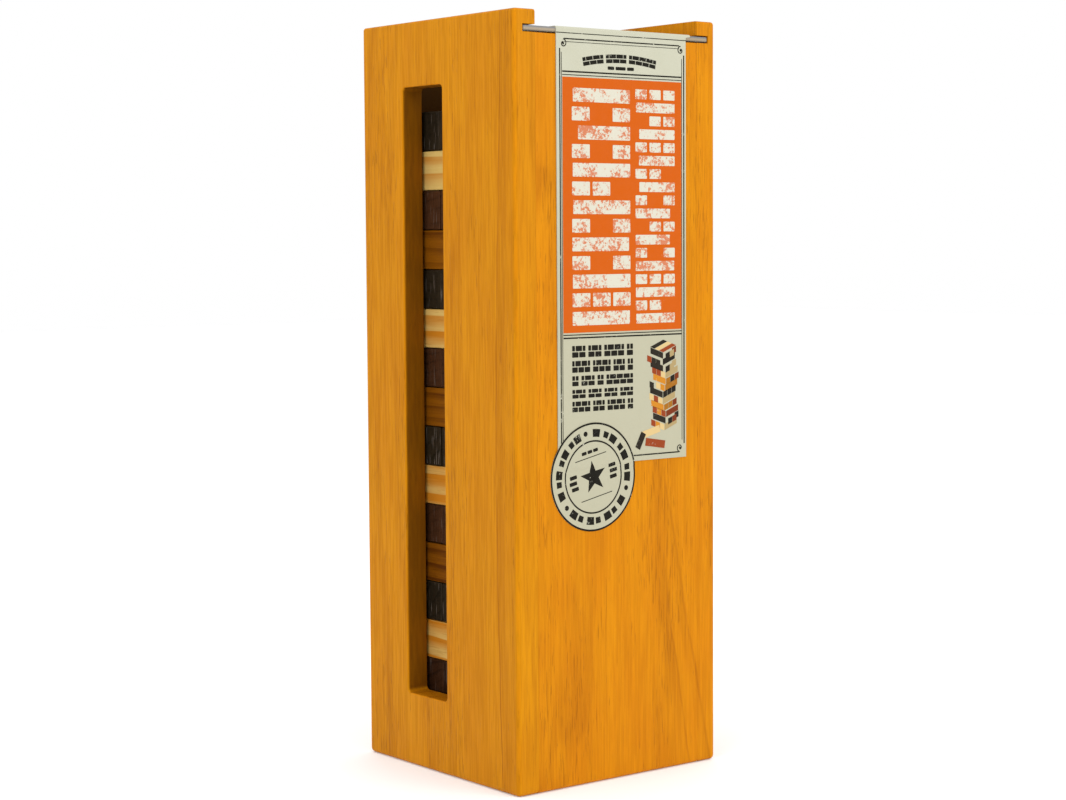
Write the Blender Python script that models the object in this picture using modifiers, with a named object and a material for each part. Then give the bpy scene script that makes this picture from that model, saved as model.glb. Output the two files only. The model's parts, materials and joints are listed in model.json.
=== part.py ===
"""Tumbling tower in its wooden storage box.

A tall square box of solid wood holds a stack of blocks, sixteen layers of three, each
layer turned a quarter against the one below. Both side panels have a long window. A thin
clear lid slides out of the top towards the front, and a printed card is folded over the
lid's front edge and hangs down the front panel, with a round paper seal on its corner.

Metres, +Z up. The origin is at the middle of the box's underside, the front faces -Y, and
the left side panel is at -X.
"""
import math

import bmesh
import bpy
from mathutils import Matrix, Vector

# Driving dimensions.
BLOCK_LENGTH = 0.075
BLOCK_WIDTH = 0.025
LAYER_PITCH = 0.015
BLOCKS_PER_LAYER = 3
LAYERS = 16
GAP = 0.0003

SIDE_PLAY = 0.0013
PANEL = 0.0093
FLOOR_THICKNESS = 0.010
HEIGHT = 0.283
FRONT_HEIGHT = 0.2748
EDGE_ROUND = 0.0018
JOINT_ROUND = 0.0003
BLOCK_ROUND = 0.0006

WINDOW_WIDTH = 0.0252
WINDOW_BOTTOM = 0.028
WINDOW_TOP = 0.2587
WINDOW_MIDDLE_Y = 0.0086
WINDOW_CORNER = 0.0018
WINDOW_SOFTENING = 0.0006

LID_THICKNESS = 0.002
LID_BOTTOM = 0.2752
LID_IN_SIDES = 0.0052
LID_IN_BACK = 0.0026
LID_PLAY = 0.0004

CARD_THICKNESS = 0.0004
CARD_LEFT = -0.0294
CARD_RIGHT = 0.0328
CARD_FOLD_RIGHT = 0.0350
CARD_BOTTOM = 0.1188
CARD_ON_LID = 0.030

SEAL_RADIUS = 0.0201
SEAL_MIDDLE_X = -0.0127
SEAL_MIDDLE_Z = 0.1142
SEAL_THICKNESS = 0.0003

# Sizes that follow from the driving dimensions.
BLOCK_HEIGHT = LAYER_PITCH - GAP
INSIDE = BLOCK_LENGTH + 2 * SIDE_PLAY
INNER = INSIDE / 2
OUTER = INNER + PANEL
LID_TOP = LID_BOTTOM + LID_THICKNESS
CARD_BACK_Y = -OUTER - GAP
CARD_FRONT_Y = CARD_BACK_Y - CARD_THICKNESS
CARD_TOP = LID_TOP + GAP + CARD_THICKNESS

# Layer colours from the floor up, repeated to the top.
LAYER_COLOURS = ("honey", "dark_brown", "natural", "black")

# Colour, roughness.
FINISHES = {
    "box_wood": ((0.66, 0.31, 0.045), 0.45),
    "floor_wood": ((0.60, 0.28, 0.045), 0.55),
    "clear_lid": ((0.72, 0.76, 0.78), 0.12),
    "card": ((0.67, 0.65, 0.55), 0.60),
    "seal_paper": ((0.67, 0.65, 0.55), 0.60),
    "natural": ((0.76, 0.50, 0.20), 0.55),
    "honey": ((0.42, 0.20, 0.035), 0.50),
    "dark_brown": ((0.060, 0.030, 0.018), 0.50),
    "black": ((0.022, 0.020, 0.018), 0.50),
}


def clear_scene():
    """Remove every object that a new file starts with."""
    for obj in list(bpy.data.objects):
        bpy.data.objects.remove(obj, do_unlink=True)


def new_collection(name):
    """A collection of this name, linked to the scene."""
    collection = bpy.data.collections.new(name)
    bpy.context.scene.collection.children.link(collection)
    return collection


def finish_material(name):
    """The Principled material of one finish, made once."""
    material = bpy.data.materials.get(name)
    if material is None:
        colour, roughness = FINISHES[name]
        material = bpy.data.materials.new(name)
        material.use_nodes = True
        shader = material.node_tree.nodes["Principled BSDF"]
        shader.inputs["Base Color"].default_value = (*colour, 1.0)
        shader.inputs["Roughness"].default_value = roughness
        shader.inputs["Metallic"].default_value = 0.0
    return material


def add_object(name, mesh, collection, finish=None):
    """Put a mesh in the scene under its part's name."""
    obj = bpy.data.objects.new(name, mesh)
    collection.objects.link(obj)
    if finish:
        mesh.materials.append(finish_material(finish))
    return obj


def box_mesh(name, low, high):
    """A box between two corners, with its vertices around its own middle."""
    low, high = Vector(low), Vector(high)
    bm = bmesh.new()
    bmesh.ops.create_cube(bm, size=1.0, matrix=Matrix.Diagonal((*(high - low), 1.0)))
    mesh = bpy.data.meshes.new(name)
    bm.to_mesh(mesh)
    bm.free()
    return mesh, (low + high) / 2


def add_box(name, low, high, collection, finish=None, rounding=0.0, segments=2):
    """A box between two corners, with rounded edges where it has a rounding."""
    mesh, middle = box_mesh(name, low, high)
    obj = add_object(name, mesh, collection, finish)
    obj.location = middle
    if rounding:
        bevel = obj.modifiers.new("rounding", "BEVEL")
        bevel.width = rounding
        bevel.segments = segments
        bevel.limit_method = "ANGLE"
    return obj


def keep_joint_edges_sharp(panel, side):
    """Leave a side panel's two upright inner edges square, so the glued joints are flush."""
    mesh = panel.data
    weights = mesh.attributes.new("bevel_weight_edge", "FLOAT", "EDGE")
    for edge in mesh.edges:
        start, end = [mesh.vertices[index].co for index in edge.vertices]
        upright = abs(start.z - end.z) > PANEL
        inner = side * start.x < 0
        weights.data[edge.index].value = 0.0 if upright and inner else 1.0
    panel.modifiers["rounding"].limit_method = "WEIGHT"


def as_cutter(obj):
    """Mark an object as a tool that only cuts."""
    obj.hide_render = True
    obj.display_type = "WIRE"
    return obj


def cut(obj, cutter):
    """Take the cutter's volume out of an object."""
    boolean = obj.modifiers.new(cutter.name, "BOOLEAN")
    boolean.operation = "DIFFERENCE"
    boolean.solver = "EXACT"
    boolean.object = cutter
    return boolean


def window_outline(grow):
    """Corner points of the rounded window in (y, z), grown outward by a margin."""
    half_width = WINDOW_WIDTH / 2 + grow
    middle_z = (WINDOW_TOP + WINDOW_BOTTOM) / 2
    half_height = (WINDOW_TOP - WINDOW_BOTTOM) / 2 + grow
    radius = WINDOW_CORNER + grow
    points = []
    for corner, (side_y, side_z) in enumerate(((1, 1), (-1, 1), (-1, -1), (1, -1))):
        for step in range(4):
            angle = math.radians(90 * corner + 30 * step)
            y = WINDOW_MIDDLE_Y + side_y * (half_width - radius) + radius * math.cos(angle)
            z = middle_z + side_z * (half_height - radius) + radius * math.sin(angle)
            points.append((y, z))
    return points


def window_cutter(name, side, collection):
    """A prism through a side panel that flares at both faces, so the rim is softened."""
    bm = bmesh.new()
    margin = 0.002
    flare = WINDOW_SOFTENING + margin
    stations = (
        (INNER - margin, flare),
        (INNER + WINDOW_SOFTENING, 0.0),
        (OUTER - WINDOW_SOFTENING, 0.0),
        (OUTER + margin, flare),
    )
    rings = []
    for x, grow in stations:
        rings.append([bm.verts.new((side * x, y, z)) for y, z in window_outline(grow)])
    for near, far in zip(rings, rings[1:]):
        for index in range(len(near)):
            following = (index + 1) % len(near)
            bm.faces.new((near[index], near[following], far[following], far[index]))
    bm.faces.new(rings[0])
    bm.faces.new(rings[-1])
    bmesh.ops.recalc_face_normals(bm, faces=bm.faces)
    mesh = bpy.data.meshes.new(name)
    bm.to_mesh(mesh)
    bm.free()
    return as_cutter(add_object(name, mesh, collection))


def groove_cutter(collection):
    """The one flat slot that all the lid's grooves are cut with."""
    reach = INNER + LID_IN_SIDES + LID_PLAY
    past_front = OUTER + PANEL
    low = (-reach, -past_front, LID_BOTTOM - LID_PLAY)
    high = (reach, INNER + LID_IN_BACK + LID_PLAY, LID_TOP + LID_PLAY)
    return as_cutter(add_box("groove_cutter", low, high, collection))


def add_box_panels(parts, cutters):
    """The four walls and the floor of the box."""
    groove = groove_cutter(cutters)
    for name, side in (("left_side_panel", -1), ("right_side_panel", 1)):
        near, far = sorted((side * INNER, side * OUTER))
        low, high = (near, -OUTER, 0.0), (far, OUTER, HEIGHT)
        panel = add_box(name, low, high, parts, "box_wood", EDGE_ROUND, 3)
        keep_joint_edges_sharp(panel, side)
        cut(panel, window_cutter(name + "_window_cutter", side, cutters))
        cut(panel, groove)
    reach = INNER - GAP
    low, high = (-reach, -OUTER, 0.0), (reach, -INNER, FRONT_HEIGHT)
    add_box("front_panel", low, high, parts, "box_wood", JOINT_ROUND, 1)
    low, high = (-reach, INNER, 0.0), (reach, OUTER, HEIGHT)
    cut(add_box("back_panel", low, high, parts, "box_wood", JOINT_ROUND, 1), groove)
    low, high = (-reach, -reach, 0.0), (reach, reach, FLOOR_THICKNESS)
    add_box("floor_panel", low, high, parts, "floor_wood", JOINT_ROUND, 1)


def add_lid(parts):
    """The clear sheet that slides in the grooves, flush with the front."""
    reach = INNER + LID_IN_SIDES
    low = (-reach, -OUTER, LID_BOTTOM)
    high = (reach, INNER + LID_IN_BACK, LID_TOP)
    add_box("sliding_lid", low, high, parts, "clear_lid", 0.0003, 1)


def add_card(parts):
    """The printed card: a strip stuck on the lid, and a flap hanging down the front."""
    low = (CARD_LEFT, -OUTER, LID_TOP + GAP)
    high = (CARD_FOLD_RIGHT, -OUTER + CARD_ON_LID, CARD_TOP)
    add_box("card_strip", low, high, parts, "card")
    low = (CARD_LEFT, CARD_FRONT_Y, CARD_BOTTOM)
    high = (CARD_RIGHT, CARD_BACK_Y, CARD_TOP)
    add_box("card_flap", low, high, parts, "card")


def add_seal(parts):
    """The round seal across the flap's lower left corner."""
    bm = bmesh.new()
    facing_front = Matrix.Rotation(math.radians(90), 4, "X")
    bmesh.ops.create_cone(
        bm, cap_ends=True, segments=48, radius1=SEAL_RADIUS, radius2=SEAL_RADIUS,
        depth=SEAL_THICKNESS, matrix=facing_front)
    mesh = bpy.data.meshes.new("round_seal")
    bm.to_mesh(mesh)
    bm.free()
    seal = add_object("round_seal", mesh, parts, "seal_paper")
    middle_y = CARD_FRONT_Y - GAP - SEAL_THICKNESS / 2
    seal.location = (SEAL_MIDDLE_X, middle_y, SEAL_MIDDLE_Z)


def add_blocks(parts):
    """Sixteen layers of three blocks, each layer across the one below."""
    size = (BLOCK_LENGTH, BLOCK_WIDTH, BLOCK_HEIGHT)
    half = Vector(size) / 2
    meshes = {}
    for colour in LAYER_COLOURS:
        meshes[colour], _ = box_mesh(colour + "_block", -half, half)
        meshes[colour].materials.append(finish_material(colour))
    for layer in range(LAYERS):
        colour = LAYER_COLOURS[layer % len(LAYER_COLOURS)]
        runs_front_to_back = layer % 2 == 0
        z = FLOOR_THICKNESS + GAP + layer * LAYER_PITCH + BLOCK_HEIGHT / 2
        for index in range(BLOCKS_PER_LAYER):
            name = f"block_{layer + 1:02d}_{'abc'[index]}"
            block = bpy.data.objects.new(name, meshes[colour])
            parts.objects.link(block)
            across = (index - (BLOCKS_PER_LAYER - 1) / 2) * (BLOCK_WIDTH + GAP)
            if runs_front_to_back:
                block.location = (across, 0.0, z)
                block.rotation_euler.z = math.radians(90)
            else:
                block.location = (0.0, across, z)
            bevel = block.modifiers.new("rounding", "BEVEL")
            bevel.width = BLOCK_ROUND
            bevel.segments = 1
            bevel.limit_method = "ANGLE"


def main():
    clear_scene()
    parts = new_collection("tumbling_tower")
    cutters = new_collection("cutters")
    add_box_panels(parts, cutters)
    add_lid(parts)
    add_card(parts)
    add_seal(parts)
    add_blocks(parts)


main()
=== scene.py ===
"""The looks of the tumbling tower in its wooden storage box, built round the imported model.

Metres, +Z up, front to -Y. Places on the box come from the frame's own boxes. The printed
card is laid out in millimetres from its own lower left corner: u to the right, v up.
"""
import json
import math
import random

import bmesh
import bpy
from mathutils import Euler, Matrix, Vector


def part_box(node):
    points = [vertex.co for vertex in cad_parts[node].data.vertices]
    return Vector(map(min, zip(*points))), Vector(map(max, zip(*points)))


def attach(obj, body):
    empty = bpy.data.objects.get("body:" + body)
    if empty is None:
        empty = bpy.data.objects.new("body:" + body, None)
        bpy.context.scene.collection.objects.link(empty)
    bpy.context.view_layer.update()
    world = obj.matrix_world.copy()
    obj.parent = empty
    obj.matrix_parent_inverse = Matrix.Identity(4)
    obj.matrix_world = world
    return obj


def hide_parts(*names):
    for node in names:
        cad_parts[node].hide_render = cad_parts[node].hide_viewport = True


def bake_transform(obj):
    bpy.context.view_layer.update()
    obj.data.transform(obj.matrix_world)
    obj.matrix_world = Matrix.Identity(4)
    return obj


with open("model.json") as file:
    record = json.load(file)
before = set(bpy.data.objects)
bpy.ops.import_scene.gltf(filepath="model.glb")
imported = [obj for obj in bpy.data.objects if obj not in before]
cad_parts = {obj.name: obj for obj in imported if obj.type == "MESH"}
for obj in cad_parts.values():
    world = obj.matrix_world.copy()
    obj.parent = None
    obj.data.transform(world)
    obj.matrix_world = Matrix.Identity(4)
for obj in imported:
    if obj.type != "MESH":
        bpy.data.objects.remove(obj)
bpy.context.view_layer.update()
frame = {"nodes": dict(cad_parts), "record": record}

MM = 0.001
SEED = 11

# The camera's place in metres, its turn, tilt and roll in degrees, its lens in millimetres.
CAMERA_PLACE = (-0.5314, -0.6744, 0.2013)
CAMERA_TURN = 38.085
CAMERA_TILT = 4.126
CAMERA_ROLL = -0.352
CAMERA_LENS = 75.1

# Each light's place and size in metres, and its power in watts.
LIGHTS = {
    "key": ((0.45, -1.25, 0.65), 0.8, 6.4),
    "fill": ((-0.45, -0.15, 0.62), 0.35, 0.8),
    "top": ((0.0, 0.1, 1.5), 0.9, 3.0),
}
LIGHTS_AIM = Vector((0, 0, 0.14))
FLOOR_SIZE = 4.0
FLOOR_DROP = 0.1 * MM
FLOOR_GLOW = 0.17

# Linear colours. A wood has its light part and its dark part.
BOX_WOOD = ((0.583, 0.192, 0.001), (0.28, 0.078, 0.001))
BOX_TINT = (0.72, 0.306, 0.002)
# A darker stain with painted shade on it, for the windows' walls.
WINDOW_STAIN_AND_SHADE = (0.18, 0.061, 0.003)
# Painted shade: a near-black colour for the inside of the box under the lid, in place of its deep
# shade.
PAINTED_SHADE_INSIDE = (0.026, 0.011, 0.003)
BLOCK_WOODS = {
    "natural_block": ((0.60, 0.41, 0.125), (0.47, 0.165, 0.010)),
    "honey_block": ((0.215, 0.069, 0.002), (0.085, 0.022, 0.001)),
    "dark_brown_block": ((0.060, 0.023, 0.009), (0.018, 0.007, 0.003)),
    "black_block": ((0.028, 0.019, 0.010), (0.008, 0.006, 0.003)),
}
SCRATCHED = (0.26, 0.22, 0.19)
CARD_COLOUR = (0.50, 0.495, 0.395)
CREAM_INK = (0.58, 0.56, 0.46)
DARK_INK = (0.006, 0.005, 0.003)
ORANGE_INK = (0.52, 0.090, 0.001)
PICTURE_INKS = {
    "natural": (0.60, 0.44, 0.20),
    "honey": (0.52, 0.20, 0.015),
    "red_brown": (0.26, 0.045, 0.010),
    "black": (0.018, 0.014, 0.009),
}
PICTURE_TONES = list(PICTURE_INKS)
SHADED_SIDE = 0.62

# How much tint a piece's shade brings in, and how far the lid covers what is under it.
TINT_BY_SHADE = 2.4
LID_ALPHA = 0.13

# The box: its rounded edges, its joints, its windows, the lid's groove and the lid's edges.
EDGE_ROUND = 1.8 * MM
TOP_ROUND = 1.1 * MM
RIM_ROUND = 0.4 * MM
JOINT_CLOSING = 0.25 * MM
CAD_WINDOW_FLARE = 0.6 * MM
WINDOW_CORNER = 1.8 * MM
WINDOW_ROUND = 0.7 * MM
GROOVE_PLAY = 0.4 * MM
LID_ROUND = 0.45 * MM
TOLERANCE = 0.01 * MM

# The blocks: how far they slide, turn and differ, the painted shade on the low ones, and their
# woods from the floor up.
BLOCK_ROUND = 0.5 * MM
BLOCK_SLIDE = 0.35 * MM
BLOCK_TURN = math.radians(0.12)
BLOCK_SHADES = 0.20
LOW_BLOCKS_PAINTED_SHADE = 0.75
LAYERS = 16
LAYER_SLOTS = ("honey_block", "dark_brown_block", "natural_block", "black_block")

# Paper and ink. The seal comes down past the card's edges over SEAL_STEP card millimetres.
CARD_THICK = 0.35 * MM
CARD_OFF_WOOD = 0.05 * MM
PAPER_GAP = 0.03 * MM
FOLD_RADIUS = 0.9 * MM
FOLD_STEP = 0.4 * MM
INK_THICK = 0.04 * MM
INK_DEEP = 0.01 * MM
SEAL_THICK = 0.12 * MM
SEAL_INK = 0.02 * MM
SEAL_STEP = 2.5
SEAL_STEP_CUTS = 8

# The card's layout in its own millimetres: the orange field, and the rows of bricks under it.
FIELD_LEFT, FIELD_RIGHT = 2.7, 59.9
FIELD_BOTTOM, FIELD_TOP = 48.6, 140.8
ROWS_LEFT, ROWS_RIGHT = 6.7, 36.1
ROWS = ((39.6, 44.2), (34.1, 38.7), (29.2, 33.2), (24.7, 28.2), (19.7, 23.9))
ROW_LENGTH = 8

# The pictured tower: its two sides' runs from the near corner, and the rise of a layer.
PICTURE_LEFT, PICTURE_RIGHT = (-6.6, 2.3), (6.4, 2.5)
PICTURE_RISE = 2.45

# The card's lower left corner, on its front face.
FLAP_LOW, FLAP_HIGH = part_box("card_flap")
CARD_FACE_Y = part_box("front_panel")[0].y - CARD_OFF_WOOD - CARD_THICK
CARD_CORNER = Vector((FLAP_LOW.x, CARD_FACE_Y, FLAP_LOW.z))


# ---- shader helpers ----

class Shader:
    """A short way to write a material's nodes: values or sockets go in, a socket comes out."""

    def __init__(self, name):
        self.material = bpy.data.materials.new(name)
        self.material.use_nodes = True
        self.tree = self.material.node_tree
        self.surface = self.tree.nodes["Principled BSDF"]

    def feed(self, socket, value):
        """Link a socket, or set a plain value."""
        if isinstance(value, bpy.types.NodeSocket):
            self.tree.links.new(value, socket)
        elif socket.type == "RGBA":
            socket.default_value = (*value, 1.0)
        else:
            socket.default_value = value

    def node(self, kind, inputs=None, **settings):
        """A node with its settings, its inputs given by name or place."""
        made = self.tree.nodes.new(kind)
        for key, value in settings.items():
            setattr(made, key, value)
        for key, value in (inputs or {}).items():
            self.feed(made.inputs[key], value)
        return made

    def math(self, operation, a, b=0.0, c=0.0):
        """One arithmetic step."""
        return self.node("ShaderNodeMath", {0: a, 1: b, 2: c}, operation=operation).outputs[0]

    def times(self, a, b):
        """One number times another."""
        return self.math("MULTIPLY", a, b)

    def add(self, value, amount, total):
        """The total with a value times an amount added."""
        return self.math("MULTIPLY_ADD", value, amount, total)

    def vector(self, operation, a, b=(0, 0, 0)):
        """One vector step."""
        made = self.node("ShaderNodeVectorMath", {0: a, 1: b}, operation=operation)
        return made.outputs["Value" if operation == "LENGTH" else "Vector"]

    def steps(self, value, low, high, start=0.0, end=1.0):
        """A smooth change from start to end as value goes from low to high."""
        made = self.node(
            "ShaderNodeMapRange",
            {"Value": value, "From Min": low, "From Max": high, "To Min": start, "To Max": end},
            interpolation_type="SMOOTHSTEP")
        return made.outputs["Result"]

    def between(self, value, low, high, soft):
        """1 where value is between low and high, with soft limits."""
        above = self.steps(value, low - soft, low + soft)
        below = self.steps(value, high - soft, high + soft, 1.0, 0.0)
        return self.times(above, below)

    def swing(self, value, amount, total):
        """The total, raised or lowered as the value passes a half."""
        return self.add(self.math("SUBTRACT", value, 0.5), amount, total)

    def clamped(self, value):
        """The value, kept from 0 to 1."""
        return self.node("ShaderNodeClamp", {"Value": value}).outputs[0]

    def mix(self, factor, a, b):
        """A mix of two colours."""
        made = self.node("ShaderNodeMix", data_type="RGBA")
        for socket, value in zip((made.inputs[0], made.inputs[6], made.inputs[7]), (factor, a, b)):
            self.feed(socket, value)
        return made.outputs[2]

    def noise(self, vector, factors, detail=3.0, rough=0.55):
        """Noise from 0 to 1 with its own scale along each axis, in cycles a millimetre."""
        made = self.node("ShaderNodeTexNoise", {
            "Vector": self.vector("MULTIPLY", vector, factors), "Scale": 1.0,
            "Detail": detail, "Roughness": rough})
        return made.outputs["Fac"]

    def full_noise(self, vector, factors):
        """Noise that uses the whole way from 0 to 1."""
        return self.steps(self.noise(vector, factors), 0.30, 0.70)

    def place(self):
        """The point on the piece in the row's frame, in millimetres."""
        point = self.node("ShaderNodeTexCoord").outputs["Object"]
        return self.vector("MULTIPLY", point, [1 / MM] * 3)

    def facing(self):
        """The surface's direction in the piece's own axes, as three sizes without sign."""
        normal = self.node("ShaderNodeTexCoord").outputs["Normal"]
        return self.axes(self.vector("ABSOLUTE", normal))

    def attribute(self, name):
        """A vector that the mesh carries."""
        return self.node("ShaderNodeAttribute", attribute_name=name).outputs["Vector"]

    def number(self, name):
        """A number that the mesh carries."""
        return self.node("ShaderNodeAttribute", attribute_name=name).outputs["Fac"]

    def axes(self, vector):
        """The three parts of a vector."""
        return self.node("ShaderNodeSeparateXYZ", {0: vector}).outputs

    def joined(self, x, y, z):
        """A vector from its three parts."""
        return self.node("ShaderNodeCombineXYZ", {0: x, 1: y, 2: z}).outputs[0]

    def bump(self, height, strength, distance):
        """Relief from a height, in metres."""
        made = self.node("ShaderNodeBump", {
            "Height": height, "Strength": strength, "Distance": distance})
        self.feed(self.surface.inputs["Normal"], made.outputs["Normal"])

    def finish(self, colour, roughness, specular):
        """Feed the colour and roughness, and return the material."""
        self.feed(self.surface.inputs["Base Color"], colour)
        self.feed(self.surface.inputs["Roughness"], roughness)
        self.surface.inputs["Specular IOR Level"].default_value = specular
        return self.material


# ---- wood ----

def grain_place(shader, grain_axis):
    """The point with its third part along the grain, moved to the piece's own spot in the tree."""
    x, y, z = shader.axes(shader.place())
    across = {"X": (y, z, x), "Y": (x, z, y), "Z": (x, y, z)}[grain_axis]
    return shader.vector("ADD", shader.joined(*across), shader.attribute("board"))


def growth_rings(shader, point, pith, spacing, waver, late):
    """Dark late wood from 0 to 1, in rings round a wandering pith."""
    wander = shader.noise(point, (0.016, 0.016, 0.0050))
    flat = shader.vector("ADD", shader.vector("MULTIPLY", point, (1, 1, 0)), (*pith, 0))
    radius = shader.swing(wander, waver, shader.vector("LENGTH", flat))
    turn = shader.math("FRACT", shader.math("DIVIDE", radius, spacing))
    rise = shader.steps(turn, late, 0.92)
    fall = shader.steps(turn, 0.92, 1.0, 1.0, 0.0)
    return shader.times(rise, fall)


def worn_and_highlit_edges(shader, sides):
    """1 where the surface turns between flat sides, broken up by noise: wear and painted
    highlight.
    """
    flattest = shader.math("MAXIMUM", shader.math("MAXIMUM", sides[0], sides[1]), sides[2])
    turning = shader.steps(flattest, 0.84, 0.985, 1.0, 0.0)
    rubbed_and_highlit = shader.noise(shader.place(), (0.30, 0.30, 0.12), detail=4.0)
    return shader.times(turning, shader.steps(rubbed_and_highlit, 0.36, 0.60))


def end_saw_marks(shader, ends, depth, tone):
    """Saw marks across the end grain, lighter and darker than the tone."""
    marks = shader.noise(shader.place(), (1.9, 1.9, 0.05))
    sawn = shader.times(shader.math("SUBTRACT", marks, 0.5), ends)
    return shader.add(sawn, depth, tone)


def end_scratches(shader, ends, strength, colour):
    """Thin pale scratches over the end grain."""
    thin = shader.noise(shader.place(), (3.2, 3.2, 0.09), detail=1.0)
    thin = shader.times(shader.steps(thin, 0.66, 0.74), ends)
    return shader.mix(shader.times(thin, strength), colour, SCRATCHED)


def tinted(shader, point, light, tint):
    """The light wood with clouds of tint, and more tint on a piece with more shade."""
    clouds = shader.noise(point, (0.070, 0.070, 0.026), detail=4.0, rough=0.6)
    clouds = shader.steps(clouds, 0.34, 0.68, 0.12, 0.38)
    share = shader.add(shader.number("shade"), TINT_BY_SHADE, clouds)
    return shader.mix(shader.clamped(share), light, tint)


def pores_of(shader, point, patch):
    """Short dark dashes along the grain from 0 to 1, gathered where the patch is strong."""
    dashes = shader.noise(point, (1.7, 1.7, 0.11), rough=0.5)
    gathered = shader.steps(patch, 0.40, 0.62, 0.66, 0.55)
    return shader.steps(shader.math("SUBTRACT", dashes, gathered), 0.0, 0.09)


def wood_material(name, light, dark, grain_axis, pith=(90, 40), spacing=13.0, waver=34.0,
                  late=0.62, base=0.20, ring=0.15, fibre=0.24, streak=0.09, cloud=0.06,
                  patchy=0.25, tint=None, pores=0.34, end_grain=0.30, saw=0.0, scratches=0.0,
                  edge_wear_and_highlight=1.2, extra=None):
    """Solid wood: rings, streaks, fibres, pores, an uneven stain, end grain, edges of wear and
    painted highlight.
    """
    shader = Shader(name)
    point = grain_place(shader, grain_axis)
    rings = growth_rings(shader, point, pith, spacing, waver, late)
    patch = shader.noise(point, (0.05, 0.05, 0.012), detail=2.0)
    rings = shader.times(rings, shader.steps(patch, 0.35, 0.62, patchy, 1.0))
    fine = shader.full_noise(point, (1.3, 1.3, 0.055))
    broad = shader.full_noise(point, (0.30, 0.30, 0.012))
    stain = shader.full_noise(point, (0.055, 0.055, 0.020))
    plain_tone = shader.math("ADD", base, shader.number("shade"))
    tone = shader.add(rings, ring, plain_tone)
    for value, amount in ((fine, fibre), (broad, streak), (stain, cloud)):
        tone = shader.swing(value, amount, tone)
    sides = shader.facing()
    ends = shader.steps(sides["XYZ".index(grain_axis)], 0.6, 0.95)
    tone = shader.add(ends, end_grain, tone)
    if saw:
        tone = end_saw_marks(shader, ends, saw, tone)
    bright = tinted(shader, point, light, tint) if tint else light
    colour = shader.mix(shader.clamped(tone), bright, dark)
    pore = pores_of(shader, point, patch)
    deepest = [part * 0.55 for part in dark]
    colour = shader.mix(shader.times(pore, pores), colour, deepest)
    if scratches:
        colour = end_scratches(shader, ends, scratches, colour)
    # The edges are painted lighter: rubbed wear together with a painted highlight where the faces
    # turn.
    wear = worn_and_highlit_edges(shader, sides)
    rubbed_and_highlit = [min(1.0, part * edge_wear_and_highlight) for part in light]
    colour = shader.mix(shader.times(wear, 0.35), colour, rubbed_and_highlit)
    if extra:
        colour = extra(shader, colour)
    height = shader.add(pore, -0.8, shader.times(fine, 0.5))
    shader.bump(shader.add(rings, 0.15, height), 0.35, 0.10 * MM)
    gloss = shader.steps(fine, 0.25, 0.75, 0.41, 0.54)
    return shader.finish(colour, shader.add(wear, 0.08, gloss), 0.06)


def growth_line(shader, colour, distance, on_face, width, trail, strength):
    """One dark line where the distance is nothing, fading out over a trail on its low side."""
    core = shader.steps(shader.math("ABSOLUTE", distance), 0.0, width, 1.0, 0.0)
    fading = shader.between(distance, -trail, 0.0, trail * 0.25)
    mark = shader.add(fading, 0.4, core)
    broken = shader.noise(shader.place(), (0.5, 0.5, 0.03), detail=4.0)
    mark = shader.times(mark, shader.steps(broken, 0.25, 0.60, 0.35, 1.0))
    share = shader.times(shader.times(mark, strength), on_face)
    return shader.mix(share, colour, BOX_WOOD[1])


def line_on_left(shader, colour, x, y, z):
    """A growth line that bows up the whole left side, in front of the window."""
    bend = shader.math("SINE", shader.times(z, 0.0135))
    line = shader.add(bend, 2.6, -38.6)
    wobble = shader.noise(shader.joined(0, 0, z), (1, 1, 0.03), detail=2.0)
    distance = shader.math("SUBTRACT", y, shader.swing(wobble, 2.4, line))
    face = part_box("left_side_panel")[0].x / MM
    on_face = shader.steps(x, face + 0.6, face + 1.6, 1.0, 0.0)
    return growth_line(shader, colour, distance, on_face, width=0.5, trail=4.5, strength=0.60)


def lines_on_front(shader, colour, x, y, z):
    """Two growth lines that lean out to the right, low on the front."""
    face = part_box("front_panel")[0].y / MM
    on_face = shader.steps(y, face + 0.6, face + 1.6, 1.0, 0.0)
    for at_floor, lean, width, top in ((45.6, -0.21, 1.1, 150.0), (35.0, -0.17, 0.8, 95.0)):
        wobble = shader.noise(shader.joined(0, 0, z), (1, 1, 0.025))
        line = shader.add(z, lean, at_floor)
        distance = shader.math("SUBTRACT", x, shader.swing(wobble, 5.0, line))
        on_line = shader.times(on_face, shader.steps(z, top - 60.0, top, 1.0, 0.0))
        colour = growth_line(shader, colour, distance, on_line, width, trail=4.0, strength=0.34)
    return colour


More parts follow.
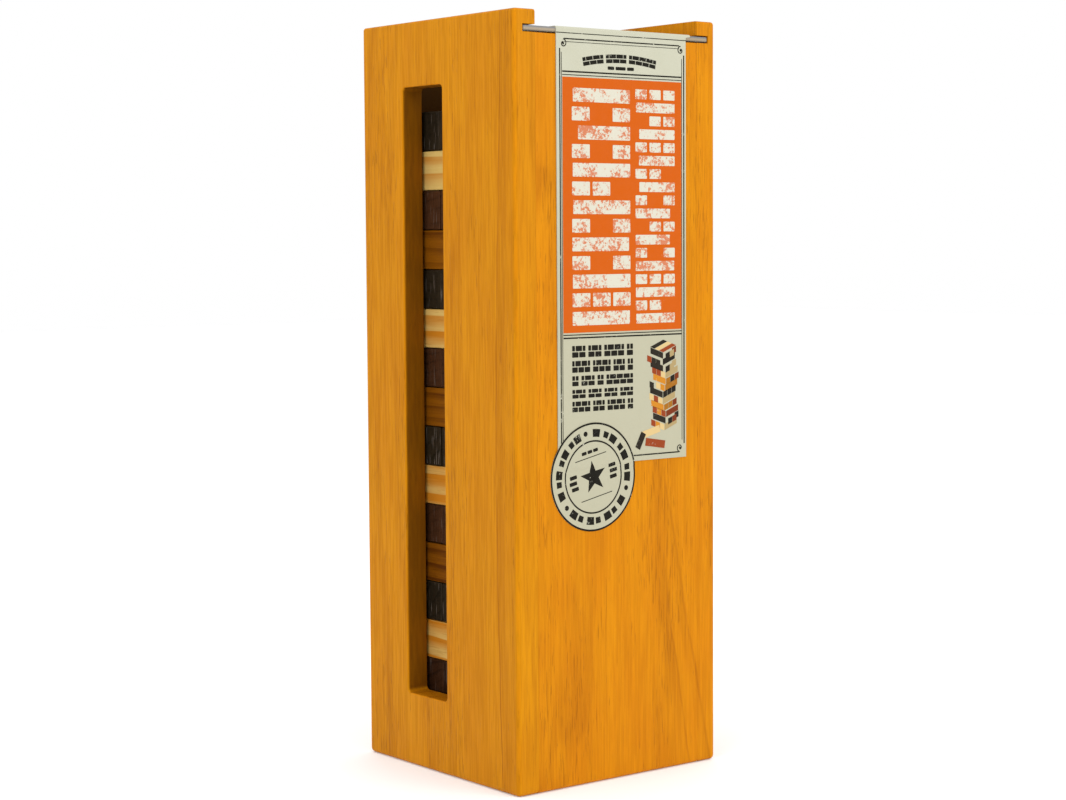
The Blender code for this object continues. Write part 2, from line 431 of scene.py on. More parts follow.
def stain_and_painted_shade_inside(shader, colour, x, y, z):
    """The windows' walls in darker stain and painted shade, the box's inside in painted shade."""
    low_y, high_y, low_z, high_z = [value / MM for value in window_edges("left_side_panel")]
    inner, outer = [corner.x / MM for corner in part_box("right_side_panel")]
    lid_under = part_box("sliding_lid")[0].z / MM
    rim = WINDOW_ROUND / MM
    across = shader.math("ABSOLUTE", x)
    along = shader.math("ABSOLUTE", y)
    depth = shader.math("SUBTRACT", outer, across)
    walls = shader.times(shader.between(y, low_y - rim, high_y + rim, 0.05),
                         shader.between(z, low_z - rim, high_z + rim, 0.05))
    within = shader.steps(z, lid_under - 0.8, lid_under, 1.0, 0.0)
    for distance in (across, along):
        inside = shader.steps(distance, inner + 0.1, inner + 0.3, 1.0, 0.0)
        within = shader.times(within, inside)
    above_sill = shader.steps(z, low_z + 0.05, low_z + 1.6)
    for share in (shader.steps(depth, 0.15, 1.3), above_sill):
        walls = shader.times(walls, share)
    soaked_and_shaded = shader.full_noise(shader.place(), (0.7, 0.7, 0.09))
    soaked_and_shaded = shader.add(soaked_and_shaded, 0.14, 0.80)
    # The windows' walls take a darker stain that also carries painted shade.
    colour = shader.mix(shader.times(walls, soaked_and_shaded), colour, WINDOW_STAIN_AND_SHADE)
    # The inside of the box under the lid is painted near black as painted shade.
    return shader.mix(shader.times(within, 0.92), colour, PAINTED_SHADE_INSIDE)


def box_wood_extras(shader, colour):
    """The box's own growth lines, and the stain and painted shade inside it."""
    x, y, z = shader.axes(shader.place())
    colour = line_on_left(shader, colour, x, y, z)
    colour = lines_on_front(shader, colour, x, y, z)
    return stain_and_painted_shade_inside(shader, colour, x, y, z)


def block_material(slot_name, grain_axis):
    """One of the four block woods, with its grain along the block."""
    sawn = dict(base=0.25, end_grain=0.05, saw=1.6)
    looks = {
        "natural_block": dict(spacing=6.8, ring=0.8, late=0.05, base=0.14, fibre=0.12, streak=0.2,
                              cloud=0.3, patchy=0.75, pores=0.25, end_grain=0.12,
                              pith=(16, 30), waver=12.0),
        "honey_block": dict(spacing=5.0, ring=0.7, late=0.4, base=0.22, patchy=0.6, waver=16.0),
        "dark_brown_block": dict(sawn, spacing=4.0, ring=0.4, scratches=0.45, edge_wear_and_highlight=2.0),
        "black_block": dict(sawn, spacing=4.5, ring=0.35, scratches=0.85, edge_wear_and_highlight=2.4),
    }[slot_name]
    woods = BLOCK_WOODS[slot_name]
    return wood_material(f"{slot_name}_{grain_axis}", *woods, grain_axis, **looks)


# ---- mesh helpers ----

def mesh_from(bm, name, smooth_angle):
    """A mesh from a bmesh, smooth where its faces meet at less than an angle in degrees."""
    bmesh.ops.recalc_face_normals(bm, faces=bm.faces)
    mesh = bpy.data.meshes.new(name)
    bm.to_mesh(mesh)
    bm.free()
    mesh.shade_smooth()
    mesh.set_sharp_from_angle(angle=math.radians(smooth_angle))
    return mesh


def add_object(name, data):
    """A new object in the scene."""
    made = bpy.data.objects.new(name, data)
    bpy.context.scene.collection.objects.link(made)
    return made


def new_piece(name, bm, body, materials, stands_for=(), smooth_angle=40):
    """Put a bmesh in the scene as a piece that rides on a CAD body."""
    piece = add_object(name, mesh_from(bm, name, smooth_angle))
    for material in materials:
        piece.data.materials.append(material)
    if body:
        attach(piece, body)
    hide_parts(*stands_for)
    return piece


def wooden_piece(node, bm, body, material, board, shade=0.0):
    """A piece of solid wood, with its spot in the tree and its shade kept on its mesh."""
    piece = new_piece(node + "_wood", bm, body, [material], [node])
    mesh = piece.data
    spot = mesh.attributes.new("board", "FLOAT_VECTOR", "POINT")
    spot.data.foreach_set("vector", list(board) * len(mesh.vertices))
    tint = mesh.attributes.new("shade", "FLOAT", "POINT")
    tint.data.foreach_set("value", [shade] * len(mesh.vertices))
    weighted = piece.modifiers.new("normals", "WEIGHTED_NORMAL")
    weighted.keep_sharp = True


def plain_box(low, high):
    """A box between two corners."""
    low, high = Vector(low), Vector(high)
    bm = bmesh.new()
    place = Matrix.Translation((low + high) / 2) @ Matrix.Diagonal((*(high - low), 1.0))
    bmesh.ops.create_cube(bm, size=1.0, matrix=place)
    return bm


def round_edges(bm, radius, segments, is_chosen=None):
    """Round the edges for which a test of the edge's middle and direction is true."""
    chosen = []
    for edge in bm.edges:
        start, end = [vert.co for vert in edge.verts]
        if is_chosen is None or is_chosen((start + end) / 2, (end - start).normalized()):
            chosen.append(edge)
    bmesh.ops.bevel(
        bm, geom=chosen, offset=radius, segments=segments, profile=0.5, affect="EDGES")
    return bm


def cut_from(bm, cutters):
    """The bmesh with every cutter's volume taken away, as a new bmesh."""
    objects = []
    for index, part in enumerate((bm, *cutters)):
        bmesh.ops.recalc_face_normals(part, faces=part.faces)
        mesh = bpy.data.meshes.new(f"work_{index}")
        part.to_mesh(mesh)
        part.free()
        objects.append(add_object(mesh.name, mesh))
    work, *tools = objects
    for tool in tools:
        boolean = work.modifiers.new(tool.name, "BOOLEAN")
        boolean.operation = "DIFFERENCE"
        boolean.solver = "EXACT"
        boolean.object = tool
    depsgraph = bpy.context.evaluated_depsgraph_get()
    result = bmesh.new()
    result.from_mesh(work.evaluated_get(depsgraph).to_mesh())
    for used in objects:
        bpy.data.objects.remove(used, do_unlink=True)
    return result


def skin(bm, rings, closed=False, material=0):
    """Faces from each ring of points to the next, with two ends unless it closes on itself."""
    rings = [[bm.verts.new(point) for point in ring] for ring in rings]
    faces = [] if closed else [rings[0], rings[-1]]
    followers = rings[1:] + rings[:1] if closed else rings[1:]
    for near, far in zip(rings, followers):
        for index in range(len(near)):
            following = (index + 1) % len(near)
            faces.append((near[index], near[following], far[following], far[index]))
    for corners in faces:
        bm.faces.new(corners).material_index = material


def bar(left, bottom, right, top, radius=0.0, steps=4):
    """The outline of an upright rectangle, with rounded corners where it has a radius."""
    if not radius:
        return [(left, bottom), (right, bottom), (right, top), (left, top)]
    corners = ((right - radius, top - radius), (left + radius, top - radius),
               (left + radius, bottom + radius), (right - radius, bottom + radius))
    return [point for quarter, corner in enumerate(corners)
            for point in arc(corner, radius, 90 * quarter, 90 * (quarter + 1), steps)]


def centred_bar(middle, right, up, wide, high, radius=0.0):
    """A bar of this width and height, with its middle this far from another middle."""
    u, v = middle[0] + right, middle[1] + up
    return bar(u - wide / 2, v - high / 2, u + wide / 2, v + high / 2, radius)


def arc(middle, radius, start, end, steps):
    """Points on an arc, from one angle to another in degrees."""
    angles = [math.radians(start + (end - start) * step / steps) for step in range(steps + 1)]
    return [(middle[0] + radius * math.cos(a), middle[1] + radius * math.sin(a)) for a in angles]


def circle(middle, radius, count):
    """Points all round a circle."""
    return arc(middle, radius, 0, 360 - 360 / count, count - 1)


# ---- the box ----

def window_edges(panel):
    """Where a side panel's window is, from the panel's own mesh: low y, high y, low z, high z."""
    low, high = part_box(panel)
    inside = 20 * MM
    rim = [v.co for v in frame["nodes"][panel].data.vertices
           if low.z + inside < v.co.z < high.z - inside and abs(v.co.y) < high.y - inside]
    ys = [co.y for co in rim]
    zs = [co.z for co in rim]
    return (min(ys) + CAD_WINDOW_FLARE, max(ys) - CAD_WINDOW_FLARE,
            min(zs) + CAD_WINDOW_FLARE, max(zs) - CAD_WINDOW_FLARE)


def window_cutter(panel, side):
    """A prism through a side panel that widens in a quarter circle at both faces."""
    low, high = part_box(panel)
    inner, outer = sorted((abs(low.x), abs(high.x)))
    past_face = 2 * MM
    flare = [(WINDOW_ROUND - u, WINDOW_ROUND - v) for u, v in arc((0, 0), WINDOW_ROUND, 0, 90, 4)]
    stations = [(inner - past_face, WINDOW_ROUND)]
    stations += [(inner + depth, grow) for depth, grow in flare]
    stations += [(outer - depth, grow) for depth, grow in reversed(flare)]
    stations += [(outer + past_face, WINDOW_ROUND)]
    low_y, high_y, low_z, high_z = window_edges(panel)
    rings = []
    for x, grow in stations:
        outline = bar(low_y - grow, low_z - grow, high_y + grow, high_z + grow,
                      WINDOW_CORNER + grow, 8)
        rings.append([(side * x, y, z) for y, z in outline])
    bm = bmesh.new()
    skin(bm, rings)
    return bm


def groove_cutter():
    """The slot that the lid slides in, open at the front."""
    low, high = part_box("sliding_lid")
    play = Vector([GROOVE_PLAY] * 3)
    past_front = Vector((0, 10 * MM, 0))
    return plain_box(low - play - past_front, high + play)


def make_side_panel(name, side, wood, board, shade):
    """A side panel: square where it is glued, rounded elsewhere, with its window and groove."""
    low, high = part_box(name)
    inner = min(abs(low.x), abs(high.x))

    def on_top(middle):
        return middle.z > high.z - TOLERANCE

    def is_inner(middle):
        return abs(middle.x) < inner + TOLERANCE

    def is_low_or_upright(middle, along):
        glued = is_inner(middle) and abs(along.z) > 0.9
        return not on_top(middle) and not glued

    bm = round_edges(plain_box(low, high), EDGE_ROUND, 5, is_low_or_upright)
    bm = round_edges(bm, TOP_ROUND, 4, lambda at, along: on_top(at) and not is_inner(at))
    bm = round_edges(bm, RIM_ROUND, 3, lambda at, along: on_top(at) and is_inner(at))
    bm = cut_from(bm, [window_cutter(name, side), groove_cutter()])
    wooden_piece(name, bm, "box", wood, board, shade)


def make_end_panel(name, side, wood, board):
    """The front or back panel: its outer edges run on from those of the side panels."""
    reach = Vector((JOINT_CLOSING, 0, 0))
    low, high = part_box(name)
    is_full_height = high.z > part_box("sliding_lid")[1].z
    middle = (low + high) / 2

    def is_edge(at, along, outside, top):
        if abs(along.x) < 0.9 or ((at.y - middle.y) * side > 0) != outside:
            return False
        return at.z > high.z - TOLERANCE if top else at.z < low.z + TOLERANCE

    bm = plain_box(low - reach, high + reach)
    for radius, segments, outside, top in (
            (EDGE_ROUND, 5, True, False),
            (TOP_ROUND if is_full_height else RIM_ROUND, 4, True, True),
            (RIM_ROUND, 3, False, True)):
        bm = round_edges(bm, radius, segments,
                         lambda at, along: is_edge(at, along, outside, top))
    if is_full_height:
        bm = cut_from(bm, [groove_cutter()])
    wooden_piece(name, bm, "box", wood, board)


def make_box():
    """The four walls and the floor, in stained wood."""
    wood = wood_material("box_wood", *BOX_WOOD, "Z", tint=BOX_TINT, extra=box_wood_extras)
    make_side_panel("left_side_panel", -1, wood, (0, 0, 0), 0.17)
    make_side_panel("right_side_panel", 1, wood, (310, 90, 40), 0.0)
    make_end_panel("front_panel", -1, wood, (30, 520, 75))
    make_end_panel("back_panel", 1, wood, (60, 270, 120))
    floor_wood = wood_material("floor_wood", *BOX_WOOD, "X", tint=BOX_TINT)
    low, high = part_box("floor_panel")
    reach = Vector((JOINT_CLOSING, JOINT_CLOSING, 0))
    bm = round_edges(plain_box(low - reach, high + reach), RIM_ROUND, 2)
    wooden_piece("floor_panel", bm, "box", floor_wood, (0, 0, 900))


# ---- the blocks ----

def make_blocks():
    """Every block a little out of line, with its own piece of the tree."""
    draw = random.Random(SEED)
    woods = {}
    bodies = frame["record"]["behaviour"]["bodies"]
    body_of_node = {node: body for body, nodes in bodies.items() for node in nodes}
    for node in sorted(name for name in frame["nodes"] if name.startswith("block_")):
        layer = int(node.split("_")[1]) - 1
        slot_name = LAYER_SLOTS[layer % len(LAYER_SLOTS)]
        grain_axis = "YX"[layer % 2]
        if slot_name not in woods:
            woods[slot_name] = block_material(slot_name, grain_axis)
        low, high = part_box(node)
        bm = round_edges(plain_box(low, high), BLOCK_ROUND, 3)
        middle = (low + high) / 2
        slide = draw.uniform(-BLOCK_SLIDE, BLOCK_SLIDE)
        shift = Vector((slide, 0, 0)) if grain_axis == "X" else Vector((0, slide, 0))
        turn = Matrix.Rotation(draw.uniform(-BLOCK_TURN, BLOCK_TURN), 4, "Z")
        bm.transform(Matrix.Translation(middle + shift) @ turn @ Matrix.Translation(-middle))
        board = (draw.uniform(-150, 150), draw.uniform(200, 400), draw.uniform(-400, 400))
        shade = draw.uniform(-BLOCK_SHADES, BLOCK_SHADES)
        # The low blocks get painted shade, darker toward the floor, for the light falling off low
        # in the window.
        shade += LOW_BLOCKS_PAINTED_SHADE * max(0.0, 0.5 - layer / LAYERS)
        wooden_piece(node, bm, body_of_node[node], woods[slot_name], board, shade)


# ---- the lid ----

def lid_materials():
    """The clear sheet's faces, with faint smudges, and its satin edges in painted shade and
    reflection.
    """
    sheet = Shader("clear_lid")
    point = sheet.place()
    smudge = sheet.noise(point, (0.06, 0.06, 0.06), detail=4.0)
    hair = sheet.noise(point, (0.05, 2.4, 0.05), detail=2.0)
    dull = sheet.steps(smudge, 0.35, 0.75, 0.05, 0.20)
    rough = sheet.add(sheet.steps(hair, 0.66, 0.72), 0.15, dull)
    colour = sheet.mix(smudge, (0.72, 0.79, 0.82), (0.80, 0.85, 0.87))
    sheet.surface.inputs["Alpha"].default_value = LID_ALPHA
    sheet.bump(hair, 0.15, 0.02 * MM)
    edge = Shader("clear_lid_edge")
    low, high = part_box("sliding_lid")
    level = edge.axes(edge.place())[2]
    share = edge.math("DIVIDE", edge.math("SUBTRACT", level, low.z / MM), (high.z - low.z) / MM)
    saw = edge.noise(edge.place(), (0.9, 0.9, 6.0))
    # The edge is painted in bands up its height: painted shade at its foot, a warm painted
    # reflection of the wood above it, and grey at its top.
    tone = edge.mix(edge.steps(share, 0.05, 0.35), (0.09, 0.065, 0.035), (0.32, 0.24, 0.145))
    tone = edge.mix(edge.steps(share, 0.50, 0.80), tone, (0.14, 0.14, 0.145))
    tone = edge.mix(edge.times(saw, 0.5), tone, (0.30, 0.29, 0.27))
    edge.bump(saw, 0.3, 0.03 * MM)
    gloss = edge.steps(saw, 0.3, 0.7, 0.25, 0.45)
    return [sheet.finish(colour, rough, 0.5), edge.finish(tone, gloss, 0.2)]


def make_lid():
    """The clear lid: a thin sheet with slightly rounded edges."""
    low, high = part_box("sliding_lid")
    bm = round_edges(plain_box(low, high), LID_ROUND, 3)
    for face in bm.faces:
        face.material_index = 0 if abs(face.normal.z) > 0.95 else 1
    new_piece("clear_lid_sheet", bm, "lid", lid_materials(), ["sliding_lid"])


# ---- paper and ink ----

def darkened(colour, shares):
    """A colour with each of its parts brought down to a share."""
    return [part * share for part, share in zip(colour, shares)]


def paper_material(name):
    """Matt card with soft mottling, fibres and flecks, darker toward its foot."""
    shader = Shader(name)
    point = shader.place()
    mottle = shader.noise(point, (0.12, 0.12, 0.12), detail=4.0)
    fibre = shader.noise(point, (2.2, 2.2, 5.0))
    share = shader.add(fibre, 0.35, shader.times(mottle, 0.55))
    colour = shader.mix(share, CARD_COLOUR, darkened(CARD_COLOUR, (0.86, 0.86, 0.80)))
    # The card is made darker toward its foot.
    darker_toward_foot = shader.steps(shader.axes(point)[2], 170.0, 250.0, 0.8, 0.0)
    colour = shader.mix(darker_toward_foot, colour, darkened(CARD_COLOUR, (0.82, 0.79, 0.70)))
    flecks = shader.steps(shader.noise(point, (3.1, 3.1, 3.1), detail=1.0), 0.74, 0.80)
    colour = shader.mix(shader.times(flecks, 0.05), colour, DARK_INK)
    shader.bump(fibre, 0.25, 0.03 * MM)
    return shader.finish(colour, shader.steps(fibre, 0.3, 0.7, 0.58, 0.70), 0.12)


def ink_material(name, tone, under, wear_from, wear_to, wear=0.8):
    """Printed ink that has worn through to what is under it in small specks."""
    shader = Shader(name)
    point = shader.place()
    patch = shader.noise(point, (0.16, 0.16, 0.16), detail=2.0)
    speck = shader.noise(point, (1.0, 1.0, 1.0), detail=5.0, rough=0.72)
    worn = shader.add(patch, 0.45, shader.times(speck, 0.75))
    bare = shader.steps(worn, wear_from, wear_to)
    cloud = shader.noise(point, (0.35, 0.35, 0.35))
    faded = [part + (other - part) * 0.025 for part, other in zip(tone, under)]
    colour = shader.mix(cloud, tone, faded)
    colour = shader.mix(shader.times(bare, wear), colour, under)
    shader.bump(speck, 0.15, 0.02 * MM)
    return shader.finish(colour, shader.steps(speck, 0.3, 0.7, 0.52, 0.66), 0.05)


def on_card(u, v, lift):
    """A point in card millimetres, this many metres in front of the card's face."""
    return CARD_CORNER + Vector((u * MM, -lift, v * MM))


def on_seal(u, v, lift):
    """A point this far in front of the seal's face, before drape() lays the seal down."""
    return on_card(u, v, lift + SEAL_THICK + PAPER_GAP)


def drape(bm):
    """Lay a flat mesh over the card's left and bottom edges and down onto the wood."""
    corner = on_card(0, 0, 0)
    cuts = [((0, 0), (1, 0, -1))]
    for index in range(SEAL_STEP_CUTS + 1):
        back = -SEAL_STEP * index / SEAL_STEP_CUTS
        cuts += [((back, 0), (1, 0, 0)), ((0, back), (0, 0, 1))]
    bmesh.ops.triangulate(bm, faces=bm.faces[:])
    for place, away in cuts:
        geometry = bm.verts[:] + bm.edges[:] + bm.faces[:]
        bmesh.ops.bisect_plane(
            bm, geom=geometry, dist=1e-7, plane_co=on_card(*place, 0), plane_no=away)
    for vert in bm.verts:
        past_edge = max(corner.x - vert.co.x, corner.z - vert.co.z, 0.0) / (SEAL_STEP * MM)
        share = min(past_edge, 1.0)
        share = share * share * (3 - 2 * share)
        vert.co.y += share * (CARD_THICK + CARD_OFF_WOOD - PAPER_GAP)


def plate(bm, surface, rows, front, closed=False):
    """A thin print along pairs of points."""
    skin(bm, [[surface(*near, front), surface(*far, front),
               surface(*far, -INK_DEEP), surface(*near, -INK_DEEP)] for near, far in rows], closed)


def shape(bm, surface, outline, back, front, material=0):
    """A thin plate with this outline."""
    rings = [[surface(u, v, lift) for u, v in outline] for lift in (front, back)]
    skin(bm, rings, material=material)


def ink(bm, outline, layer=0):
    """A thin printed shape on the card. A higher layer is printed over the ones under it."""
    shape(bm, on_card, outline, layer * INK_THICK - INK_DEEP, (layer + 1) * INK_THICK)


def ribbon(path, width, closed=False):
    """Pairs of points on both sides of a path."""
    rows = []
    for index, (u, v) in enumerate(path):
        before = path[index - 1] if closed or index else path[index]
        after = path[(index + 1) % len(path)] if closed or index + 1 < len(path) else path[index]
        along = Vector((after[0] - before[0], after[1] - before[1])).normalized()
        aside = Vector((-along.y, along.x)) * width / 2
        rows.append([(u - aside.x, v - aside.y), (u + aside.x, v + aside.y)])
    return rows


def turned(points, middle, degrees):
    """Points turned round a middle."""
    cosine = math.cos(math.radians(degrees))
    sine = math.sin(math.radians(degrees))
    return [(middle[0] + (u - middle[0]) * cosine - (v - middle[1]) * sine,
             middle[1] + (u - middle[0]) * sine + (v - middle[1]) * cosine) for u, v in points]


# ---- the card ----

def card_path(top, strip_back):
    """Places in (y, z) from the strip's back to the flap's foot, each with its way outward."""
    centre_y, centre_z = CARD_FACE_Y + FOLD_RADIUS, top - FOLD_RADIUS
    path = [(strip_back + (centre_y - strip_back) * step / 6, top, 0, 1) for step in range(6)]
    for away_z, away_y in arc((0, 0), 1, 0, 90, 8):
        path.append((centre_y - FOLD_RADIUS * away_y, centre_z + FOLD_RADIUS * away_z,
                     -away_y, away_z))
    path += [(CARD_FACE_Y, centre_z - step * FOLD_STEP, -1, 0) for step in range(1, 7)]
    lowest = path[-1][1]
    rest = FLAP_LOW.z - lowest
    return path + [(CARD_FACE_Y, lowest + rest * step / 10, -1, 0) for step in range(1, 11)]


def make_card(paper):
    """One sheet: a strip on the lid, a fold over its front edge and a flap down the front."""
    strip_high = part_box("card_strip")[1]
    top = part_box("sliding_lid")[1].z + PAPER_GAP + CARD_THICK
    centre_z = top - FOLD_RADIUS
    rings = []
    for y, z, away_y, away_z in card_path(top, strip_high.y):
        right = strip_high.x if z > centre_z - FOLD_STEP else FLAP_HIGH.x
        inner_y, inner_z = y - CARD_THICK * away_y, z - CARD_THICK * away_z
        rings.append(((FLAP_LOW.x, y, z), (right, y, z), (right, inner_y, inner_z),
                      (FLAP_LOW.x, inner_y, inner_z)))
    bm = bmesh.new()
    skin(bm, rings)
    card = new_piece("folded_card", bm, None, [paper], ["card_strip", "card_flap"], 50)
    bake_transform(card)


def scroll(bm, u, v, across, up):
    """A small curl round a dot, in a corner of the frame."""
    inset = 1.9
    turns = [(math.radians(-90 + 27 * step), 1.55 - 0.08 * step) for step in range(15)]
    curl = [(radius * math.cos(angle), radius * math.sin(angle)) for angle, radius in turns]
    path, dot = [[(u + across * (inset + a), v + up * (inset + b)) for a, b in points]
                 for points in (curl, circle((0, 0), 0.46, 12))]
    plate(bm, on_card, ribbon(path, 0.40), INK_THICK)
    ink(bm, dot)


def frame_rules():
    """The frame's rules, most of them a thick one outside a thin one, as outlines."""
    places = [(0.0, 156.3, 62.2, 156.6), (36.0, 1.8, 58.4, 2.3),
              (3.6, 154.15, 58.9, 154.6), (3.6, 153.2, 58.9, 153.4),
              (1.3, 4.5, 1.8, 150.9), (2.2, 6.0, 2.45, 149.6),
              (60.9, 5.2, 61.45, 150.9), (60.0, 6.6, 60.25, 149.6)]
    for bottom, top in ((142.45, 143.0), (141.4, 141.7), (47.65, 48.0), (46.45, 47.0)):
        places.append((FIELD_LEFT, bottom, FIELD_RIGHT, top))
    return [bar(*place) for place in places]


def dark_print():
    """The frame, the rules, the heading and the rows of brick walls by the picture."""
    bm = bmesh.new()
    for rule in frame_rules():
        ink(bm, rule)
    for u, v, across, up in ((1.3, 154.6, 1, -1), (61.5, 154.6, -1, -1), (60.9, 1.7, -1, 1)):
        scroll(bm, u, v, across, up)
    arched_row(bm)
    draw = random.Random(SEED + 1)
    for bottom, top in ROWS:
        brick_row(bm, draw, bottom, top)
    return bm


def bricks(count):
    """Two courses of bricks in half bond, each as its course, start and end in bricks."""
    lower = [(0, index, index + 1) for index in range(count)]
    upper = [(1, index + 0.5, index + 1.5) for index in range(count - 1)]
    return lower + [(1, 0, 0.5)] + upper + [(1, count - 0.5, count)]


def arched_row(bm):
    """Three short brick walls on a flat arch over a short broken rule, as a heading."""
    middle = (30.6, 55.0)
    foot, course_high, joint = 91.7, 1.7, 0.30
    at, brick_turn, space_turn = 101.3, 2.05, 0.62
    for count in (3, 3, 4):
        for course, start, end in bricks(count):
            low = foot + course * course_high
            angles = (at - start * brick_turn, at - end * brick_turn + joint / 2)
            inner, outer = [arc(middle, radius, *angles, 3)
                            for radius in (low, low + course_high - joint)]
            plate(bm, on_card, zip(inner, outer), INK_THICK)
        at -= count * brick_turn + space_turn
    for left, right in ((24.0, 27.1), (27.8, 32.6), (33.3, 36.6)):
        ink(bm, bar(left, 144.1, right, 145.3, 0.35))


def brick_row(bm, draw, bottom, top):
    """One row of four short brick walls of uneven length, in place of a line of words."""
    joint, space = 0.36, 1.0
    counts = [draw.choice((1, 2, 3)) for _ in range(3)]
    counts.append(max(1, ROW_LENGTH - sum(counts)))
    wide = (ROWS_RIGHT - ROWS_LEFT - space * (len(counts) - 1)) / sum(counts)
    course_high = (top - bottom) / 2
    at = ROWS_LEFT
    for count in counts:
        for course, start, end in bricks(count):
            low = bottom + course * course_high
            ink(bm, bar(at + start * wide, low, at + end * wide - joint,
                        low + course_high - joint, 0.25))
        at += count * wide + space


def layer_elevation(bm, draw, left, right, bottom, top, end_on):
    """One layer of a tower seen from the side: one long block, or three ends."""
    nudge = draw.uniform(-0.7, 0.7)
    if not end_on:
        pull = draw.choice((0, 0, 0, 2.4, -2.4))
        start = max(left, left + nudge + pull)
        end = min(right, right + nudge + pull)
        ink(bm, bar(start, bottom, end, top, 0.35), 1)
        return
    missing = draw.choice((None, None, 1, draw.choice((0, 2))))
    gap = 1.3
    width = (right - left - 2 * gap) / 3
    for index in range(3):
        if index != missing:
            start = left + index * (width + gap)
            ink(bm, bar(start, bottom, start + width, top, 0.35), 1)


def cream_print():
    """Two tall towers of blocks, in place of the two columns of a title."""
    bm = bmesh.new()
    draw = random.Random(SEED + 2)
    lowest, highest = FIELD_BOTTOM + 2.6, FIELD_TOP - 2.0
    for left, right, layers in ((7.0, 34.6, 13), (37.2, 56.5, 18)):
        pitch = (highest - lowest) / layers
        for layer in range(layers):
            bottom = lowest + pitch * layer
            layer_elevation(bm, draw, left, right, bottom, bottom + pitch * 0.74, layer % 2)
    return bm


def picture_block(bm, start, run, span, up, front, tone):
    """One face of a pictured block: a share of a run, raised along another direction."""
    low = [(start[0] + run[0] * part, start[1] + run[1] * part) for part in span]
    high = [(u + up[0], v + up[1]) for u, v in reversed(low)]
    shape(bm, on_card, low + high, -INK_DEEP, front, tone)


def picture_layer(bm, draw, near, layer):
    """One layer of the pictured tower: its left and right sides, some blocks drawn out."""
    tones = len(PICTURE_TONES)
    picked = [draw.randrange(tones) for _ in range(3)]
    for run, other, shows_ends, first in (
            (PICTURE_LEFT, PICTURE_RIGHT, layer % 2 == 0, 0),
            (PICTURE_RIGHT, PICTURE_LEFT, layer % 2 == 1, tones)):
        count = 3 if shows_ends else 1
        for index in range(count):
            out = draw.choice((0.0, 0.0, 0.0, 0.16)) if shows_ends else 0.0
            start = (near[0] - other[0] * out, near[1] - other[1] * out)
            span = ((index + 0.03) / count, (index + 0.97) / count)
            picture_block(bm, start, run, span, (0, PICTURE_RISE * 0.93),
                          INK_THICK * (1.5 if out else 1.0), picked[index] + first)


def picture_print():
    """A small uneven tower of coloured blocks with three loose ones at its foot."""
    bm = bmesh.new()
    draw = random.Random(SEED + 3)
    layers = 12
    for layer in range(layers):
        near = (51.2 + 0.9 * math.sin(layer * 1.1), 10.6 + layer * PICTURE_RISE)
        picture_layer(bm, draw, near, layer)
    near = (near[0], near[1] + PICTURE_RISE)
    for index, tone in enumerate(("red_brown", "natural", "black")):
        span = ((index + 0.04) / 3, (index + 0.96) / 3)
        picture_block(bm, near, PICTURE_LEFT, span, PICTURE_RIGHT, INK_THICK,
                      PICTURE_TONES.index(tone))
    for middle, wide, high, degrees, tone, top in (
            ((44.3, 10.4), 9.4, 2.6, 14, "natural", 1.7),
            ((39.4, 7.4), 6.4, 2.5, 62, "black", 2.3),
            ((46.6, 6.1), 9.6, 2.9, -9, "red_brown", 2.9)):
        outline = turned(centred_bar(middle, 0, 0, wide, high), middle, degrees)
        shape(bm, on_card, outline, INK_THICK / 2, top * INK_THICK, PICTURE_TONES.index(tone))
    return bm


def make_prints():
    """Everything printed on the card, each ink as its own thin piece."""
    dark = ink_material("dark_ink", DARK_INK, CARD_COLOUR, 0.71, 0.77)
    orange = ink_material("orange_ink", ORANGE_INK, CARD_COLOUR, 0.80, 0.86, 0.5)
    cream = ink_material("cream_ink", CREAM_INK, ORANGE_INK, 0.625, 0.655)
    pictures = []
    for side, share in (("lit", 1.0), ("shaded", SHADED_SIDE)):
        for name, tone in PICTURE_INKS.items():
            pictures.append(ink_material(f"picture_ink_{name}_{side}", darkened(tone, [share] * 3),
                                         CARD_COLOUR, 0.72, 0.80))
    bm = bmesh.new()
    ink(bm, bar(FIELD_LEFT, FIELD_BOTTOM, FIELD_RIGHT, FIELD_TOP))
    new_piece("orange_print", bm, "card", [orange])
    new_piece("cream_print", cream_print(), "card", [cream])
    new_piece("dark_print", dark_print(), "card", [dark])
    new_piece("picture_print", picture_print(), "card", pictures)


# ---- the seal ----

def seal_middle():
    """The seal's middle in card millimetres, and its radius."""
    low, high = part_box("round_seal")
    middle = ((low + high) / 2 - CARD_CORNER) / MM
    return (middle.x, middle.z), (high.x - low.x) / 2 / MM


def make_seal(paper):
    """A thin paper disc over the card's corner and the wood, and its print."""
    middle, radius = seal_middle()
    bm = bmesh.new()
    shape(bm, on_seal, circle(middle, radius, 120), -SEAL_THICK, 0.0)
    drape(bm)
    new_piece("round_seal_paper", bm, "card", [paper], ["round_seal"])
    bm = bmesh.new()
    seal_rings(bm, middle, radius)
    seal_star(bm, middle)
    drape(bm)
    dark = ink_material("seal_ink", DARK_INK, CARD_COLOUR, 0.71, 0.77)
    new_piece("seal_print", bm, "card", [dark])


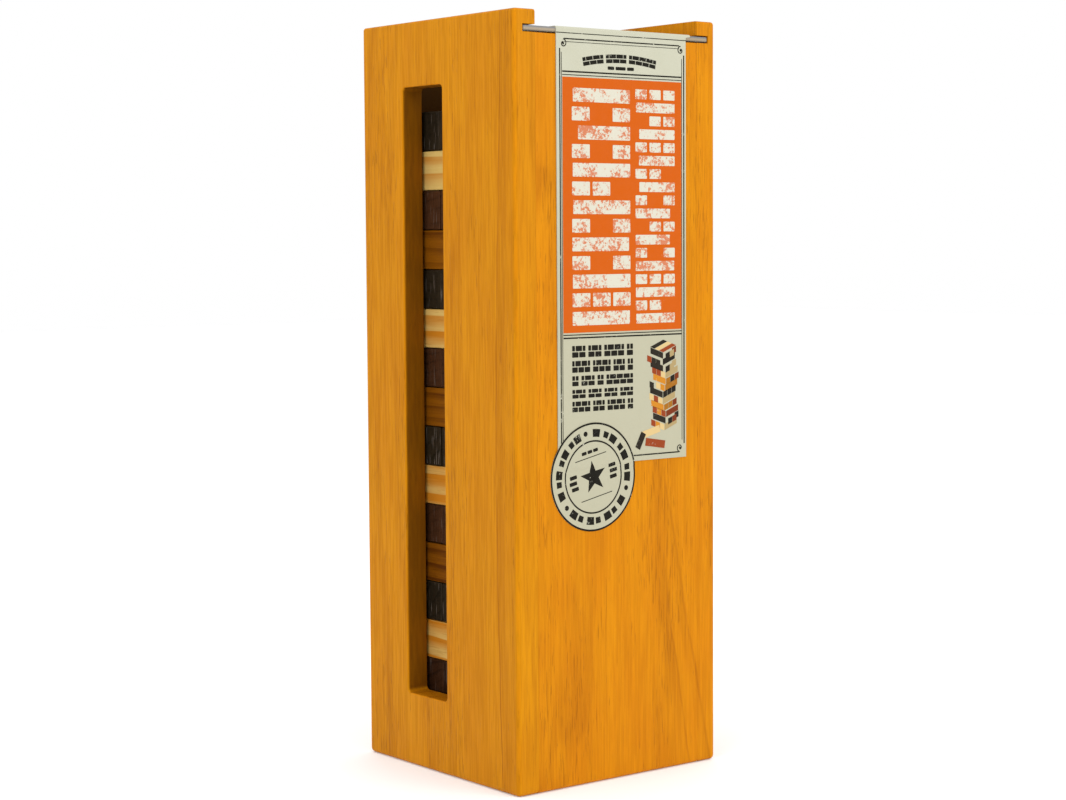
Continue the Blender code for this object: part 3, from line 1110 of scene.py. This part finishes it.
def seal_rings(bm, middle, radius):
    """Two rings, and between them three dots with dashes of two sizes."""
    for at, width in ((radius - 0.35, 0.7), (13.3, 0.6)):
        ring = ribbon(circle(middle, at, 120), width, closed=True)
        plate(bm, on_seal, ring, SEAL_INK, closed=True)
    dots = (104, 220, 342)
    space, count = 9, 7
    for dot, next_dot in zip(dots, (*dots[1:], dots[0] + 360)):
        centre = arc(middle, 16.5, dot, dot, 1)[0]
        shape(bm, on_seal, circle(centre, 0.95, 24), -INK_DEEP, SEAL_INK)
        step = (next_dot - dot - 2 * space) / count
        for index in range(count):
            low, high, share = (15.1, 17.4, 0.55) if index % 2 else (14.8, 17.7, 0.8)
            first = dot + space + index * step
            inner, outer = [arc(middle, at, first, first + step * share, 6)
                            for at in (low, high)]
            plate(bm, on_seal, zip(inner, outer), SEAL_INK)


def seal_star(bm, middle):
    """A star between short bars and two thin rules, all tilted."""
    tilt = 12
    hub, valley, tip = 0.04, 2.5, 6.2
    star = []
    for point in range(10):
        angle = 90 + 36 * point + tilt
        star.append([arc(middle, reach, angle, angle, 1)[0]
                     for reach in (hub, valley if point % 2 else tip)])
    plate(bm, on_seal, star, SEAL_INK, closed=True)
    bars = [(0, up, 15.0, 0.3, 0.0) for up in (7.6, -7.6)]
    bars += [(right, 9.6, wide, 1.2, 0.3) for right, wide in ((-2.75, 2.3), (0, 2.2), (2.75, 2.3))]
    for side in (-1, 1):
        bars += [(side * 9.25, up, 3.3, 1.4, 0.3) for up in (2.2, -2.2)]
        bars.append((side * 9.75, 0, 3.5, 1.4, 0.3))
    for place in bars:
        outline = turned(centred_bar(middle, *place), middle, tilt)
        shape(bm, on_seal, outline, -INK_DEEP, SEAL_INK)


# ---- the studio ----

def add_light(name, place, size, power):
    """A soft square light aimed at the middle of the box."""
    data = bpy.data.lights.new(name, "AREA")
    data.size = size
    data.energy = power
    lamp = add_object(name, data)
    lamp.location = place
    lamp.rotation_euler = (LIGHTS_AIM - Vector(place)).to_track_quat("-Z", "Y").to_euler()


def make_floor():
    """A pale floor, a touch under the box, with a faint glow of its own."""
    shader = Shader("studio_floor")
    haze = shader.noise(shader.place(), (0.004, 0.004, 0.004))
    colour = shader.mix(haze, [0.84] * 3, [0.88] * 3)
    shader.surface.inputs["Emission Color"].default_value = (1.0, 1.0, 1.0, 1.0)
    shader.surface.inputs["Emission Strength"].default_value = FLOOR_GLOW
    bm = bmesh.new()
    bmesh.ops.create_grid(bm, x_segments=4, y_segments=4, size=FLOOR_SIZE)
    floor = add_object("studio_floor", mesh_from(bm, "studio_floor", 40))
    floor.data.materials.append(shader.finish(colour, 0.7, 0.1))
    floor.location.z = -FLOOR_DROP


def make_studio():
    """A white world, three soft lights and a pale floor."""
    world = bpy.data.worlds.new("studio")
    world.use_nodes = True
    background = world.node_tree.nodes["Background"]
    background.inputs["Color"].default_value = (1.0, 1.0, 1.0, 1.0)
    background.inputs["Strength"].default_value = 1.0
    bpy.context.scene.world = world
    bpy.context.scene.view_settings.view_transform = "Standard"
    for name, light in LIGHTS.items():
        add_light(name, *light)
    make_floor()


def make_camera():
    """The camera, outside the box's front left corner."""
    data = bpy.data.cameras.new("camera")
    data.lens = CAMERA_LENS
    cam = add_object("camera", data)
    turn = Euler((math.radians(90 - CAMERA_TILT), 0, math.radians(-CAMERA_TURN))).to_matrix()
    roll = Matrix.Rotation(math.radians(CAMERA_ROLL), 3, "Z")
    cam.matrix_world = Matrix.Translation(CAMERA_PLACE) @ (turn @ roll).to_4x4()
    bpy.context.scene.camera = cam


def main():
    """Everything in the scene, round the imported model."""
    make_studio()
    make_camera()
    make_box()
    make_blocks()
    make_lid()
    make_card(paper_material("card_paper"))
    make_prints()
    make_seal(paper_material("seal_paper"))


main()
